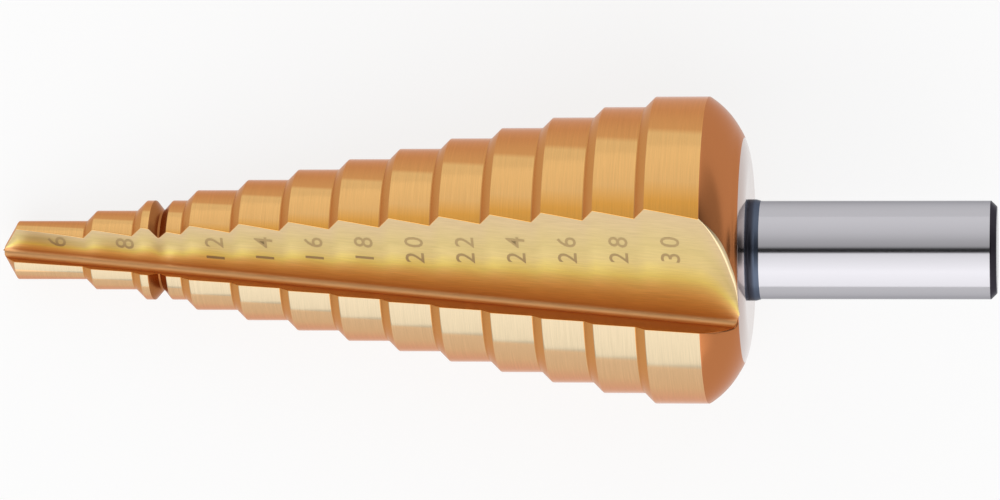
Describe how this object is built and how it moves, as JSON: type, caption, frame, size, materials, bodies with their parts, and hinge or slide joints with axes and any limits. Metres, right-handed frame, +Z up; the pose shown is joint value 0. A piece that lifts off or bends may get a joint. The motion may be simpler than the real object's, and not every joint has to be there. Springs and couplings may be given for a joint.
{
  "type": "step drill",
  "caption": "Two-flute step drill for sheet metal, 6 to 30 mm in even steps, with a ground point and a plain round shank.",
  "frame": {"origin": "on the surface the drill lies on, under the middle of its bounding box", "axes": "+Z up, +X the way the shank points as seen from above; the drill's axis climbs 9.7 degrees towards the shank, and the first flute opens upwards"},
  "size_m": [0.0966, 0.0296, 0.0281],
  "materials": {
    "coated_steel": "ground steel, gold-coated cutting head, bare shank"
  },
  "bodies": {
    "root": {"step_drill": "coated_steel"}
  },
  "joints": []
}
